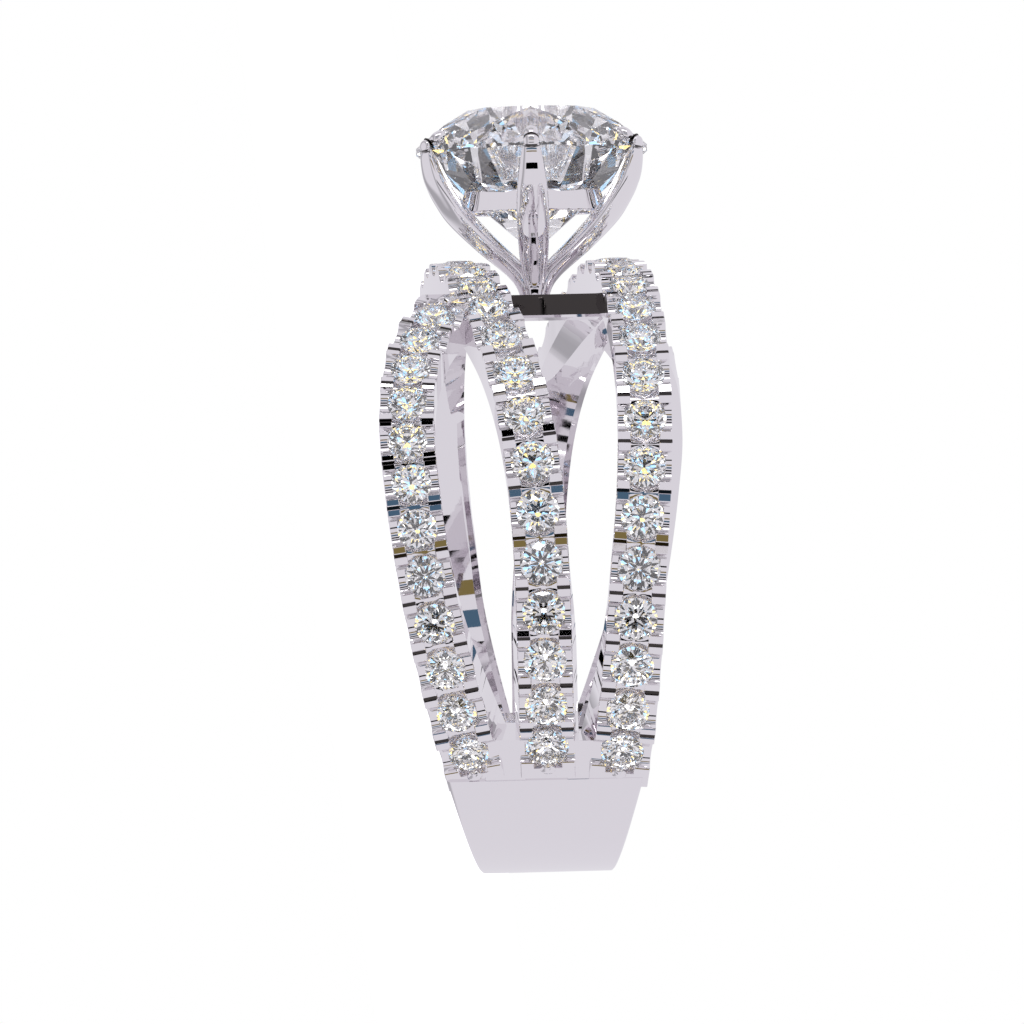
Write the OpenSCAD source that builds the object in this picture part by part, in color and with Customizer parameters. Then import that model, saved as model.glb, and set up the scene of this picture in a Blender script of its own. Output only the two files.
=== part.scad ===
// Split shank ring: one cast and soldered metal mounting, a round centre stone in six claws,
// and four rows of small stones. Two long rails cross over the finger from one side to the
// other, and a short strand joins each of them below the head. The ring is symmetric under
// half a turn about the axis of its head.
//
// It is drawn upright first, in the ring's own frame: X along the finger, Z up through the
// head, origin at the middle of the finger hole. An angle of the hoop is 0 at the front,
// 90 under the head, 180 at the back. Last, the whole ring is laid on its side.

/* [Finger hole] */
// Inside diameter of the hoop
bore_d = 17; // [16.6:0.1:17.2]

/* [Shank] */
// Thickness of the hoop from the finger hole outwards
wall = 1.8; // [1.7:0.05:1.9]
// Width of the plain shank at its lowest point
shank_low_w = 4.4; // [4:0.1:5]
// Width of the plain shank where the strands start
shank_high_w = 6.4; // [6.2:0.1:6.5]
// How the shank widens upwards: 1 is straight, more is hollow at first
shank_flare = 1.7; // [1:0.1:2.5]

/* [Strands] */
// Width of a rail or strand
strand_w = 1.76; // [1.7:0.02:1.8]
// Bevel on the finger side of each rail and strand
inner_bevel = 0.25; // [0.15:0.05:0.35]
// Depth of the cuts between the prongs
cut_depth = 0.4; // [0.38:0.01:0.42]

/* [Small stones] */
// Diameter of the stones on the long rails
rail_stone_d = 1.38; // [1.3:0.01:1.38]
// Diameter of the stones on the short strands
strand_stone_d = 1.28; // [1.2:0.01:1.28]
// Stones on each long rail
rail_stones = 28; // [28:1:28]
// Stones on each short strand
strand_stones = 12; // [12:1:12]

/* [Head] */
// Height of the bridge under the head, above the finger axis
bridge_top = 9.15; // [9:0.05:9.2]
// Length of the bridge along the hoop
bridge_len = 4.4; // [4:0.1:4.8]
// Height of the centre stone's girdle above the finger axis
girdle_z = 14.08; // [14.04:0.02:14.12]
// Corner radius of the six-sided gallery rail, to its outer face
gallery_r = 2.85; // [2.7:0.05:2.95]
// Height of the gallery rail's band
gallery_h = 0.72; // [0.6:0.02:0.8]

/* [Centre stone] */
// Diameter at the girdle
stone_d = 7.8; // [7.7:0.02:7.82]
// Table width as a share of the diameter
table_share = 0.55; // [0.5:0.01:0.6]
// Crown height as a share of the diameter
crown_share = 0.16; // [0.14:0.005:0.17]
// Pavilion depth as a share of the diameter
pavilion_share = 0.43; // [0.42:0.005:0.44]

/* [Hidden] */

// The ring as it lies by itself: turned about the row's Y axis, then about its X axis
lie_pitch = -83.42;
lie_roll = -1.67;
lie_shift = [2.5627, 0, 4.3899];

r_in = bore_d / 2;
r_out = r_in + wall;
r_mid = r_in + wall/2;
r_cut = r_out - cut_depth;
half_w = strand_w / 2;

// Places along the hoop, as angles
shank_top = -41;        // the plain shank ends and the strands start
foot_depth = 4;         // a strand's foot sinks this far into the shank
foot_rise = 1;          // the foot's level part reaches this far above the shank's end
foot_level = 2;         // and this far below it
ledge = 0.1;            // from the grooved part of a strand up to its level foot
row_end = 4.3;          // from the last stone of a row to the end of its groove
end_prong = 0.8;        // from the end of a groove back to the middle of its last prongs
end_bead = 0.45;        // from the end of a groove on to the middle of its bead
step = 5;               // spacing of the sections along a sweep
arch_middle = 84;       // two arches in each rail's finger side lie on both sides of this angle
arch_end = 29;          // from there to the top of each arch
arch_run = 12;          // length of each arch

// Long rail from the right at the front to the middle at the back:
// [angle, x, width as a share of the usual one]
rail_path = [
    [-45, 2.30, 1.10], [-30, 2.63, 1.08], [-15, 2.90, 1.05], [0, 3.13, 1.02],
    [15, 3.36, 1], [30, 3.46, 1], [45, 3.41, 1], [60, 3.24, 1], [75, 2.96, 1],
    [90, 2.62, 1], [105, 2.18, 1], [120, 1.58, 1], [135, 0.90, 1], [150, 0.40, 1],
    [165, 0.10, 1], [180, -0.04, 1], [195, -0.07, 1], [210, -0.08, 1], [225, -0.10, 1]];
// Short strand at the left of the front: the same columns
strand_path = [
    [-45, -2.14, 1.08], [-30, -2.67, 1.05], [-15, -3.22, 1.02], [0, -3.70, 1],
    [15, -4.04, 1], [30, -4.21, 1], [45, -3.94, 1], [60, -2.98, 1], [75, -1.60, 1]];

// Small stones: angle of the first, spacing, how far those of a rail move towards the nearer
// foot, over how many stones, and how fast those of a short strand close up towards its end
rail_first = -35.4;
rail_spacing = 9.235;
rail_sway = 1.2;
sway_stones = 9;
strand_first = -35.2;
strand_spacing = 8.83;
strand_closing = 0.0048;

// Cross section of a strand
groove_lip = 0.45;      // half width of the stones' groove at its edge
groove_depth = 0.43;
bevel_height = 0.45;    // the bevel on the finger side reaches this high at most
ridge_w = 0.08;         // width that the widest bevels leave between them
prong_in = 0.46;        // the prongs stand this far from the strand's middle line
prong_root = 0.11;      // how far a prong sinks into the strand
prong_inset = 0.015;    // from the strand's side wall to a prong's root
prong_taper = 0.95;     // width and length of a prong's tip as a share of its root
rail_open = 1.03;       // length along a strand that each stone keeps free of prongs
strand_open = 0.97;
bead_r = 0.18;          // half-round bead at each end of a row
end_prong_len = 0.24;   // length of a row's last prongs along the strand
sunk_share = 0.7;       // size of a foot's sunk end as a share of the strand's section
strand_rise = 0.015;    // a short strand stays this far outside the finger hole
tuck = 0.15;            // how far a short strand's end sinks into the rail beside it
tuck_rows = [-0.6, 1.2, 3];     // its sections, as angles from the end of the groove
web_drop = 0.42;        // the floor between two strands lies this far below their tops
floor_rise = 0.06;      // floors and bridge stay this far outside the finger hole

// Small stone, as shares of its diameter
small_table = 0.56;
small_crown = 0.15;
small_girdle = 0.03;
small_pavilion = 0.42;
small_girdle_drop = 0.15;   // from the prong tips down to the girdle

star_share = 0.53;      // the stars' outer points, as a share of girdle and table together
half_share = 0.24;      // inner points of the halves below the girdle, as a share of it
stone_gap = 0.03;       // clearance round the centre stone
girdle_share = 0.03;    // girdle thickness as a share of the centre stone's diameter

// A column of a path at any angle, by a smooth curve through its rows
function entry(path, i, column) = path[min(max(i, 0), len(path) - 1)][column];
function smooth(path, a, column) =
    let (place = (a - path[0][0]) / (path[1][0] - path[0][0]),
         i = min(max(floor(place), 0), len(path) - 2),
         t = place - i,
         x0 = entry(path, i - 1, column), x1 = entry(path, i, column),
         x2 = entry(path, i + 1, column), x3 = entry(path, i + 2, column))
    0.5 * (2*x1 + (x2 - x0)*t + (2*x0 - 5*x1 + 4*x2 - x3)*t*t + (3*x1 - x0 - 3*x2 + x3)*t*t*t);
function path_x(path, a) = smooth(path, a, 1);
function half_at(path, a) = half_w * smooth(path, a, 2);

// Slant of a path against the hoop
function slant(path, a) =
    atan((path_x(path, a + 1) - path_x(path, a - 1)) / (2 * r_out * PI / 180));

// Three directions at a place on a path: across it, along it and outwards
function across(path, a) =
    let (s = slant(path, a)) [cos(s), -sin(s)*sin(a), -sin(s)*cos(a)];
function along(path, a) =
    let (s = slant(path, a)) [sin(s), cos(s)*sin(a), cos(s)*cos(a)];
function outward(a) = [0, -cos(a), sin(a)];

function on_hoop(x, r, a) = [x, -r*cos(a), r*sin(a)];
function on_path(path, a, u, r) = on_hoop(path_x(path, a), r, a) + u*across(path, a);

// Sway of the k-th stone from a foot: half a sine wave
function sway(k) = k < sway_stones ? rail_sway * sin(180*k/sway_stones) : 0;
function rail_angle(k) =
    rail_first + k*rail_spacing - sway(k) + sway(rail_stones - 1 - k);
function strand_angle(k) = strand_first + k*strand_spacing - k*k*k*strand_closing;

// Angles from one to another at about the usual spacing
function angles(from, to) =
    let (n = max(1, ceil(abs(to - from) / step))) [for (i = [0:n]) from + (to - from)*i/n];

// Joins a list of rings of points into one closed solid
module loft(rings) {
    last = len(rings) - 1;
    sides = len(rings[0]);
    polyhedron(
        points = [for (ring = rings) each ring],
        faces = [
            [for (k = [0:sides - 1]) k],
            for (i = [0:last - 1], k = [0:sides - 1]) each
                let (n = (k + 1) % sides, a = i*sides, b = a + sides)
                [[a + n, a + k, b + k], [a + n, b + k, b + n]],
            [for (k = [sides - 1:-1:0]) last*sides + k]],
        convexity = 10);
}

// Sets its children at a place on a path: X across, Y along, Z outwards
module seat(path, a, r) {
    c = across(path, a);
    t = along(path, a);
    n = outward(a);
    p = on_path(path, a, 0, r);
    multmatrix([[c.x, t.x, n.x, p.x], [c.y, t.y, n.y, p.y], [c.z, t.z, n.z, p.z]])
        children();
}

// Both halves of the ring: the front one, and the same turned to the back
module both_sides() {
    for (turn = [0, 180]) rotate([0, 0, turn]) children();
}

// Section of a strand of half width h, from its finger side round: grooved for stones, or
// level. Both have the same points, so that one loft passes from the one to the other.
function section(h, bevel, low, top, groove) =
    let (side_low = low + min(bevel, bevel_height))
    [[bevel - h, low], [-h, side_low], [-h, top],
     [-groove_lip, top], [0, top - groove], [groove_lip, top],
     [h, top], [h, side_low], [h - bevel, low]];
function grooved(h, bevel, low) = section(h, bevel, low, r_cut, groove_depth);
function level(h, low, drop) = section(h, inner_bevel, low, r_out - drop, 0);
// The end that is sunk into the shank is smaller all round
function sunk(h, low, drop) =
    [for (p = level(h, low, drop)) [p[0]*sunk_share, r_mid + (p[1] - r_mid)*sunk_share]];

// Under the head the finger side of a rail narrows to a ridge, which ends its flat in an arch
function bevel_at(h, a) =
    let (t = max(0, min(1, (arch_end - abs(a - arch_middle)) / arch_run)))
    inner_bevel + (h - ridge_w/2 - inner_bevel) * sqrt(t);

function ring_at(path, a, outline) = [for (p = outline) on_path(path, a, p[0], p[1])];

// A strand's foot in the shank, from its deep end up, or from the top down at the back
function foot(path, low, drop, back = false) =
    let (places = [shank_top - foot_depth, shank_top - foot_level, shank_top + foot_rise],
         order = back ? [2, 1, 0] : [0, 1, 2])
    [for (i = order)
        let (a = back ? 180 - places[i] : places[i], h = half_at(path, a))
        ring_at(path, a, i == 0 ? sunk(h, low, drop) : level(h, low, drop))];

// A strand's solid, grooved from one angle to another. drops tells how far each end's level
// top lies below the shank; an end with a foot goes on into the shank.
module strand(path, from, to, low, drops, feet) {
    loft([
        each if (feet[0]) foot(path, low, drops[0]),
        ring_at(path, from - ledge, level(half_at(path, from), low, drops[0])),
        for (a = angles(from, to)) let (h = half_at(path, a))
            ring_at(path, a, grooved(h, bevel_at(h, a), low)),
        ring_at(path, to + ledge, level(half_at(path, to), low, drops[1])),
        each if (feet[1]) foot(path, low, drops[1], back = true)]);
}

// Prongs facing each other over a strand, in a gap between stones
module prongs(path, a, length, sides = [-1, 1]) {
    width = half_at(path, a) - prong_inset - prong_in;
    for (side = sides)
        seat(path, a, r_cut - prong_root)
            translate([side*(prong_in + width/2), 0, 0])
                linear_extrude(prong_root + cut_depth, scale = prong_taper)
                    square([width, length], center = true);
}

// Half-round bead at the end of a row of stones
module bead(path, a) {
    root = 0.27;
    crown = 0.04;
    seat(path, a, r_cut - root)
        rotate([0, 0, 22.5]) hull() {
            cylinder(h = root + cut_depth, r = bead_r, $fn = 8);
            cylinder(h = root + cut_depth + crown, r = bead_r*0.6, $fn = 8);
        }
}

// The prongs between the stones of a row. They fill what each stone leaves open.
module prong_row(path, places, open) {
    for (i = [0:len(places) - 2]) {
        gap = norm(on_path(path, places[i + 1], 0, r_out) - on_path(path, places[i], 0, r_out));
        prongs(path, (places[i] + places[i + 1])/2, gap - open);
    }
}

// A long rail from its foot at the front to its foot at the back
module rail() {
    places = [for (k = [0:rail_stones - 1]) rail_angle(k)];
    first = places[0] - row_end;
    last = places[rail_stones - 1] + row_end;
    strand(rail_path, first, last, r_in, [0.03, 0.05], [true, true]);
    prong_row(rail_path, places, rail_open);
    prongs(rail_path, first + end_prong, end_prong_len);
    prongs(rail_path, last - end_prong, end_prong_len);
    bead(rail_path, first - end_bead);
    bead(rail_path, last + end_bead);
}

// Left wall of the rail beside a short strand, as a distance from the middle
function rail_wall(a) = -path_x(rail_path, 180 - a) - half_w/cos(slant(rail_path, 180 - a));
// Left wall of the short strand
function strand_wall(a) = path_x(strand_path, a) - half_w/cos(slant(strand_path, a));

// A short strand from its foot to the end that is tucked against the rail beside it
module short_strand() {
    places = [for (k = [0:strand_stones - 1]) strand_angle(k)];
    first = places[0] - row_end;
    last = places[strand_stones - 1] + row_end;
    low = r_in + strand_rise;
    end_inset = 0.03;   // from the strand's walls to the solid that closes its end
    strand(strand_path, first, last, low, [0.07, 0.02], [true, false]);
    prong_row(strand_path, places, strand_open);
    prongs(strand_path, first + end_prong, end_prong_len);
    prongs(strand_path, last - end_prong, end_prong_len, [-1]);
    bead(strand_path, first - end_bead);
    bead(strand_path, last + end_bead);
    low_wall([for (row = tuck_rows) let (a = last + row)
        [a, strand_wall(a) + end_inset, rail_wall(a) + tuck]],
        r_in + floor_rise + end_inset, r_out - 0.05, 0);
}

// Solid between two distances from the middle, through rows of [angle, left, right]. Its
// finger side lags by an angle, so that a floor at its end can be level and not radial.
module low_wall(rows, low, top, lag) {
    loft([for (row = rows)
        [on_hoop(row[1], low, row[0] - lag), on_hoop(row[1], top, row[0]),
         on_hoop(row[2], top, row[0]), on_hoop(row[2], low, row[0] - lag)]]);
}

// Floor between two neighbouring strands, where they leave the shank
module web(top, lag, left_x, right_x) {
    low_wall([for (a = angles(shank_top - foot_depth, top)) [a, left_x, right_x]],
             r_in + floor_rise, r_out - web_drop, lag);
}

// Plain lower half of the hoop
module shank() {
    half_span = 90 + shank_top;
    edge = 0.18;
    low = r_in + 0.03;      // the strands' feet stand this little proud of it
    loft([for (a = angles(-180 - shank_top, shank_top))
        let (w = shank_low_w + (shank_high_w - shank_low_w)
                 * pow(abs(a + 90)/half_span, shank_flare), h = w/2)
        [on_hoop(-h + edge, low, a), on_hoop(-h, low + edge, a), on_hoop(-h, r_out - edge, a),
         on_hoop(-h + edge, r_out, a), on_hoop(h - edge, r_out, a), on_hoop(h, r_out - edge, a),
         on_hoop(h, low + edge, a), on_hoop(h - edge, low, a)]]);
}

// Flat bar between the rails that carries the head
module bridge() {
    reach = 2.2;        // from the middle into each rail
    low = 8;            // below the finger hole's wall at the bridge's ends
    bevel_z = 8.2;
    bevel = 0.5;
    beyond = 6;         // longer than the bridge is wide
    difference() {
        translate([-reach, -bridge_len/2, low]) cube([2*reach, bridge_len, bridge_top - low]);
        rotate([0, 90, 0])
            cylinder(h = beyond, r = r_in + floor_rise, center = true, $fn = 96);
        for (end = [-1, 1])
            translate([0, end*bridge_len/2, bevel_z]) rotate([45, 0, 0])
                cube([beyond, bevel, bevel], center = true);
    }
}

// Stations of a claw from the bridge to its tip: [z, outer radius, inner radius, width]
claw_rows = [
    [8.90, 0.42, 0, 0.48], [9.42, 0.60, 0, 0.56], [9.75, 0.86, 0.05, 0.64],
    [10.06, 1.22, 0.28, 0.72], [10.75, 2.12, 1.15, 0.88], [11.63, 3.12, 2.15, 1.04],
    [12.27, 3.62, 2.76, 1.08], [12.97, 4.03, 3.25, 1.02], [13.70, 4.20, 3.55, 0.84],
    [14.30, 4.12, 3.45, 0.60], [14.58, 3.90, 3.15, 0.50], [14.74, 3.62, 3.20, 0.36]];

// The section of a claw is round outside and narrower inside, as shares of its half width
module claw() {
    inside = 0.6;       // half width of the inner face
    deep = 0.55;        // the widest place lies this far in from the outer radius
    round = 0.12;       // and the rounding's middle points this far
    loft([for (row = claw_rows)
        let (z = row[0], out = row[1], inner = row[2], w = row[3]/2)
        [[inner, -w*inside, z], [out - w*deep, -w, z], [out - w*round, -w*deep, z],
         [out, 0, z],
         [out - w*round, w*deep, z], [out - w*deep, w, z], [inner, w*inside, z]]]);
}

// Six claws and the six-sided gallery rail between them
module head() {
    corner_in = gallery_r - 0.6;
    gallery_low = 11.94;
    difference() {
        union() {
            for (k = [0:5]) rotate([0, 0, 30 + 60*k]) claw();
            rotate([0, 0, 30]) translate([0, 0, gallery_low]) difference() {
                cylinder(h = gallery_h, r = gallery_r, $fn = 6);
                translate([0, 0, -1]) cylinder(h = gallery_h + 2, r = corner_in, $fn = 6);
            }
        }
        brilliant(stone_gap);
    }
}

// The metal: everything that is cast in one or soldered together
module mounting() {
    color("gainsboro") {
        shank();
        both_sides() {
            rail();
            short_strand();
            web(-33.2, 1.8, -1.95, -0.62);
            web(-33.7, 4, 0.7, 1.85);
        }
        bridge();
        head();
    }
}

// A ring of n points about Z
function round_ring(n, r, z, start = 0) =
    [for (k = [0:n - 1]) let (a = start + 360*k/n) [r*cos(a), r*sin(a), z]];

// Round brilliant: table, stars, kites and halves above the girdle, mains and halves below.
// The middle points lie where they keep every kite flat. grow makes it that much larger all
// round, for the seat that is cut in the claws.
module brilliant(grow = 0) {
    r = stone_d/2 + grow;
    table_r = stone_d*table_share/2 + grow*0.5;
    table_z = girdle_z + (girdle_share/2 + crown_share)*stone_d + grow;
    top_z = girdle_z + girdle_share*stone_d/2 + grow;
    low_z = girdle_z - girdle_share*stone_d/2 - grow;
    culet_z = low_z - pavilion_share*stone_d - grow*0.3;
    star_r = (r + table_r)*star_share;
    star_z = table_z - (star_r*cos(22.5) - table_r)*(table_z - top_z)/(r - table_r);
    half_r = r*half_share;
    half_z = low_z - (r - half_r*cos(22.5))*(low_z - culet_z)/r;
    table = 0;
    star = 8;
    top = 16;
    low = 32;
    half = 48;
    culet = 56;
    polyhedron(
        points = concat(
            round_ring(8, table_r, table_z), round_ring(8, star_r, star_z, 22.5),
            round_ring(16, r, top_z), round_ring(16, r, low_z),
            round_ring(8, half_r, half_z, 22.5), [[0, 0, culet_z]]),
        faces = [
            [for (k = [7:-1:0]) table + k],
            for (k = [0:7]) each
                let (n = (k + 1) % 8, b = (k + 7) % 8, g = 2*k, h = 2*k + 1, e = (2*k + 2) % 16)
                [[table + k, table + n, star + k],
                 [table + k, star + k, top + g, star + b],
                 [star + k, top + h, top + g],
                 [star + k, top + e, top + h],
                 [top + g, top + h, low + h, low + g],
                 [top + h, top + e, low + e, low + h],
                 [half + k, low + g, low + h],
                 [half + k, low + h, low + e],
                 [low + g, half + k, culet, half + b]]]);
}

module centre_stone() {
    color("white", 0.5) brilliant();
}

// Small round stone with a table, eight facets above the girdle and eight below
module small_stone(d) {
    r = d/2;
    rotate([0, 0, 22.5])
        hull() {
            cylinder(h = small_crown*d, r1 = r, r2 = r*small_table, $fn = 8);
            translate([0, 0, -(small_girdle + small_pavilion)*d])
                cylinder(h = small_pavilion*d, r1 = 0, r2 = r, $fn = 8);
        }
}

module rail_row() {
    for (k = [0:rail_stones - 1])
        seat(rail_path, rail_angle(k), r_out - small_girdle_drop) small_stone(rail_stone_d);
}

module strand_row() {
    for (k = [0:strand_stones - 1])
        seat(strand_path, strand_angle(k), r_out - small_girdle_drop)
            small_stone(strand_stone_d);
}

module right_rail_stones() {
    color("white", 0.5) rail_row();
}

module left_rail_stones() {
    color("white", 0.5) rotate([0, 0, 180]) rail_row();
}

module near_strand_stones() {
    color("white", 0.5) strand_row();
}

module far_strand_stones() {
    color("white", 0.5) rotate([0, 0, 180]) strand_row();
}

// Lays the upright ring on its side
module laid_down() {
    translate(lie_shift) rotate([lie_roll, 0, 0]) rotate([0, lie_pitch, 0]) children();
}

laid_down() mounting();
laid_down() centre_stone();
laid_down() left_rail_stones();
laid_down() right_rail_stones();
laid_down() near_strand_stones();
laid_down() far_strand_stones();
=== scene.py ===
# %% [markdown]
# # A split shank ring in white gold and diamond
# The ring lies on its side. Its plain shank splits below the head into crossing rails, which
# carry rows of small brilliants between pairs of prongs. Six claws hold the centre stone.
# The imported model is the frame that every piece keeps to, so it is loaded first.

# %% Load the frame
import itertools

import bmesh
import bpy
import numpy as np
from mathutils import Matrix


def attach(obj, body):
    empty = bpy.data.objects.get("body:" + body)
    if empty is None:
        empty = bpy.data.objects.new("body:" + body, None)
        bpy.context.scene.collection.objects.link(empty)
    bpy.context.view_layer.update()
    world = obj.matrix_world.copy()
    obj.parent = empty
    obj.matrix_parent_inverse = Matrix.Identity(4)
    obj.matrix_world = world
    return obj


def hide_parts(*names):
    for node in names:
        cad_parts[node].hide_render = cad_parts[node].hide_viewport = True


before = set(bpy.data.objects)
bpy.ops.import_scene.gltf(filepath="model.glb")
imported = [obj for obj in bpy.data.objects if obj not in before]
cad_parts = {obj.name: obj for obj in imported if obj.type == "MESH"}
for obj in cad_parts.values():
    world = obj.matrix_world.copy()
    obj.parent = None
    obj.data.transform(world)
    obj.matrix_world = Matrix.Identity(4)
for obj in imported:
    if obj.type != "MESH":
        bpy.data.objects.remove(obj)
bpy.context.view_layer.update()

print("nodes of the frame:", sorted(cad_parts))

# %% [markdown]
# ## One coordinate system for a jeweller, one for the table
# A ring is easiest to describe standing up: X runs along the finger, Z up through the head,
# and an angle of the hoop is 0 at the front, 90 under the head and 180 at the back. It could
# be modelled lying down, but then every formula would carry the tilt. So all shapes are worked
# out upright, in millimetres, and one turn and one shift lay them on the table.

# %% From the upright ring to the table
LIE_PITCH, LIE_ROLL = np.radians([-83.42, -1.67])
LIE_SHIFT = np.array([2.5627, 0, 4.3899])


def turn(axis, angle):
    """Rotation matrix about X, Y or Z: the other two axes turn into each other by the angle."""
    c, s = np.cos(angle), np.sin(angle)
    first, second = [(1, 2), (2, 0), (0, 1)]["XYZ".index(axis)]
    matrix = np.eye(3)
    matrix[first, first] = matrix[second, second] = c
    matrix[first, second], matrix[second, first] = -s, s
    return matrix


LIE = turn("X", LIE_ROLL) @ turn("Y", LIE_PITCH)


def lay_down(points):
    """Turned by the two angles, shifted, and taken from millimetres to metres."""
    return (np.asarray(points) @ LIE.T + LIE_SHIFT) / 1000


print("the finger axis in the row:", np.round(LIE[:, 0], 3))

# %% [markdown]
# ## Meshes from whole arrays
# Almost every piece of the ring is a section carried along a path: a grid of points with one
# index along the path and one round the section. Blender could sweep curves, but a grid in
# numpy lets the section change from place to place, as the cut rails need. One function turns
# any number of such grids into closed shells, and one puts shells into a mesh.

# %% Shells and pieces


def sweep(grid):
    """Closed shells from sections, grid[shell, ring, side, xyz]. Quads join each ring to the
    next and each side to the next one round, and a flat cap closes each end."""
    shells = grid.reshape(-1, *grid.shape[-3:])
    count, rings, sides, _ = shells.shape
    ring, side = np.mgrid[:rings - 1, :sides]
    after = (side + 1) % sides
    quads = np.stack([ring * sides + side, ring * sides + after,
                      (ring + 1) * sides + after, (ring + 1) * sides + side], -1)
    starts = np.arange(count) * rings * sides
    quads = (quads.reshape(1, -1, 4) + starts[:, None, None]).reshape(-1, 4)
    cap = np.arange(sides)
    near = starts[:, None] + cap[::-1]
    far = starts[:, None] + (rings - 1) * sides + cap
    return shells.reshape(-1, 3), quads.tolist() + near.tolist() + far.tolist()


def joined(*shells):
    """Several shells as one: the points follow each other and the faces count on."""
    points, faces, start = [], [], 0
    for shell_points, shell_faces in shells:
        points.append(shell_points)
        faces += [[start + corner for corner in face] for face in shell_faces]
        start += len(shell_points)
    return np.concatenate(points), faces


def half_turned(shell):
    """The same shell on the other side of the ring: X and Y change sign."""
    points, faces = shell
    return points * [-1, -1, 1], faces


def make_piece(name, shell, material, stands_for, crease=35):
    """A mesh object from a shell in upright millimetres. Faces are turned outwards, edges
    sharper than the crease angle stay sharp, and the piece rides on the root body."""
    points, faces = shell
    mesh = bpy.data.meshes.new(name)
    mesh.from_pydata(lay_down(points).tolist(), [], faces)
    work = bmesh.new()
    work.from_mesh(mesh)
    bmesh.ops.recalc_face_normals(work, faces=work.faces)
    work.to_mesh(mesh)
    work.free()
    if crease:
        mesh.shade_smooth()
        mesh.set_sharp_from_angle(angle=np.radians(crease))
    mesh.materials.append(material)
    piece = bpy.data.objects.new(name, mesh)
    bpy.context.scene.collection.objects.link(piece)
    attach(piece, "root")
    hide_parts(stands_for)
    triangles = sum(len(face) - 2 for face in faces)
    print(f"{name}: {len(points)} points, {triangles} triangles")
    return piece


# %% [markdown]
# ## Finishes
# Cast white gold is plated with rhodium and polished to a cool mirror. A perfect mirror looks
# like a drawing, so the roughness wanders a little from place to place and very fine wiping
# marks bend the reflections. The stones are clear and bend light by a factor of 2.42, which is
# what makes a diamond look bright. A faint tint that changes from stone to stone keeps a row of
# stones from looking stamped. A dark copy of the same metal paints shade and dark reflections:
# painted shade in the slots between prongs, and a painted dark reflection in the lines round
# the claws' domes and on the bridge's ends.

# %% The finishes
METAL_COOL = (0.86, 0.84, 0.87, 1)
METAL_WARM = (0.88, 0.86, 0.87, 1)
# The two shade colours are painted shade and painted dark reflection: a dark copy of the metal's
# tones.
SHADE_COOL = (0.045, 0.043, 0.048, 1)
SHADE_WARM = (0.075, 0.065, 0.055, 1)
DIAMOND_INDEX = 2.42


def new_material(name):
    """A new material with its nodes, its links and its main shader."""
    material = bpy.data.materials.new(name)
    material.use_nodes = True
    nodes, links = material.node_tree.nodes, material.node_tree.links
    return material, nodes, links, nodes["Principled BSDF"]


def polished_gold(name, cool, warm):
    """Metal whose colour follows broad noise, roughness fine noise, and bump wiping marks."""
    material, nodes, links, shader = new_material(name)
    shader.inputs["Metallic"].default_value = 1
    place = nodes.new("ShaderNodeTexCoord")
    clouds = nodes.new("ShaderNodeTexNoise")
    clouds.inputs["Scale"].default_value = 220
    clouds.inputs["Detail"].default_value = 3
    tone = nodes.new("ShaderNodeValToRGB")
    tone.color_ramp.elements[0].color = cool
    tone.color_ramp.elements[1].color = warm
    polish = nodes.new("ShaderNodeMapRange")
    polish.inputs["To Min"].default_value = 0.012
    polish.inputs["To Max"].default_value = 0.045
    wipes = nodes.new("ShaderNodeTexNoise")
    wipes.inputs["Scale"].default_value = 2600
    wipes.inputs["Detail"].default_value = 4
    bump = nodes.new("ShaderNodeBump")
    bump.inputs["Strength"].default_value = 0.02
    bump.inputs["Distance"].default_value = 0.00001
    for texture in (clouds, wipes):
        links.new(place.outputs["Object"], texture.inputs["Vector"])
    links.new(clouds.outputs["Fac"], tone.inputs["Fac"])
    links.new(tone.outputs["Color"], shader.inputs["Base Color"])
    links.new(clouds.outputs["Fac"], polish.inputs["Value"])
    links.new(polish.outputs["Result"], shader.inputs["Roughness"])
    links.new(wipes.outputs["Fac"], bump.inputs["Height"])
    links.new(bump.outputs["Normal"], shader.inputs["Normal"])
    return material


def clear_diamond():
    """Clear glass of a diamond's index, with a tint that drifts between two near whites."""
    material, nodes, links, shader = new_material("diamond_clear")
    shader.inputs["Transmission Weight"].default_value = 1
    shader.inputs["IOR"].default_value = DIAMOND_INDEX
    shader.inputs["Roughness"].default_value = 0
    place = nodes.new("ShaderNodeTexCoord")
    drift = nodes.new("ShaderNodeTexNoise")
    drift.inputs["Scale"].default_value = 160
    tint = nodes.new("ShaderNodeValToRGB")
    tint.color_ramp.elements[0].color = (0.97, 0.99, 1, 1)
    tint.color_ramp.elements[1].color = (1, 0.99, 0.97, 1)
    links.new(place.outputs["Object"], drift.inputs["Vector"])
    links.new(drift.outputs["Fac"], tint.inputs["Fac"])
    links.new(tint.outputs["Color"], shader.inputs["Base Color"])
    return material


gold = polished_gold("white_gold_polish", METAL_COOL, METAL_WARM)
# A dark copy of the metal: painted shade in the slots, and a painted dark reflection on the claws'
# dome lines and the bridge's ends.
painted_shade = polished_gold("dark_metal_painted_shade", SHADE_COOL, SHADE_WARM)
diamond = clear_diamond()
print("finishes:", gold.name, painted_shade.name, diamond.name)

# %% [markdown]
# ## The hoop and its paths
# On the real ring each rail is a bent bar that starts at one side of the shank, passes beside
# the head and ends in the middle of the other side. Its route is a short table of places that
# a smooth curve passes through. At each angle of the hoop three directions follow from it:
# across the rail, along it, and outwards from the finger.

# %% Sizes of the hoop, in millimetres, and the routes
BORE_R = 8.5
OUTER_R = 10.3
CUT_R = 9.9
HALF_W = 0.88
SHANK_TOP = -41

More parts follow.
